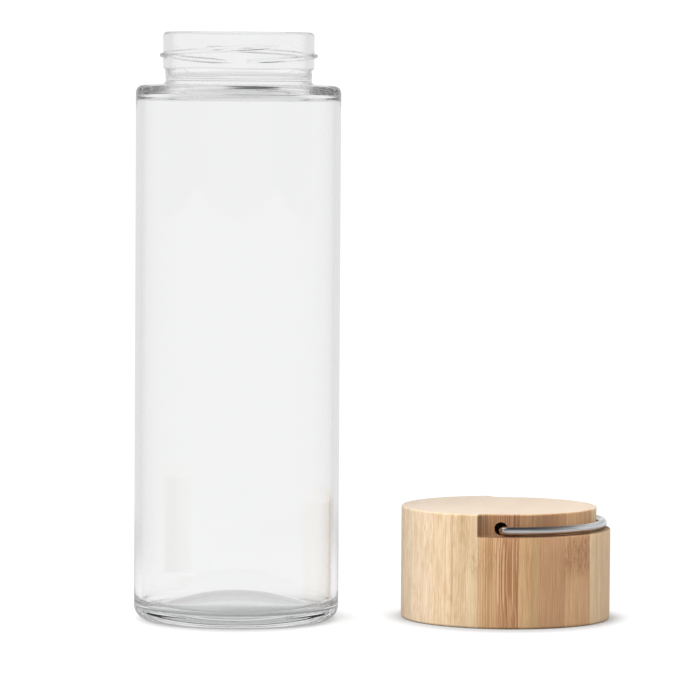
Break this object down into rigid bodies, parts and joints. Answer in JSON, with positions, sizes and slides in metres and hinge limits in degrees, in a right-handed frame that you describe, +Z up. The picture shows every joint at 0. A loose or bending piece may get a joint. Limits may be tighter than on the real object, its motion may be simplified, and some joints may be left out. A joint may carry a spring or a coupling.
{
  "type": "glass water bottle",
  "caption": "Cylindrical clear glass water bottle with a flat shoulder and threaded neck, and a round bamboo screw cap with a folding wire carrying handle, standing open beside it.",
  "frame": {"origin": "on the bottle's axis, at the plane that the bottle stands on", "axes": "+Z up along the bottle's axis; +X from the bottle towards the cap standing beside it; -Y towards the viewer"},
  "size_m": [0.1519, 0.0729, 0.1862],
  "materials": {
    "clear_glass": "clear, polished",
    "bamboo": "laminated bamboo, fine sanded and matt",
    "liner_plastic": "moulded, satin",
    "silicone": "soft, matt",
    "steel_wire": "polished stainless wire"
  },
  "bodies": {
    "bottle": {"glass_bottle": "clear_glass"},
    "seal": {"seal_ring": "silicone"},
    "lid": {"bamboo_cap": "bamboo", "threaded_liner": "liner_plastic"},
    "handle": {"wire_handle": "steel_wire"}
  },
  "joints": [
    {"name": "lid_lift", "type": "slide", "parent": "bottle", "child": "seal", "axis": [0, 0, 1], "range_m": [0, 0.2]},
    {"name": "lid_turn", "type": "hinge", "parent": "seal", "child": "lid", "pos_m": [0.086, 0.007, 0], "axis": [0, 0, 1], "continuous": true},
    {"name": "handle_swing", "type": "hinge", "parent": "lid", "child": "handle", "pos_m": [0.0864, 0.00697, 0.03075], "axis": [-0.0872, -0.9962, 0], "range_deg": [0, 120]}
  ]
}
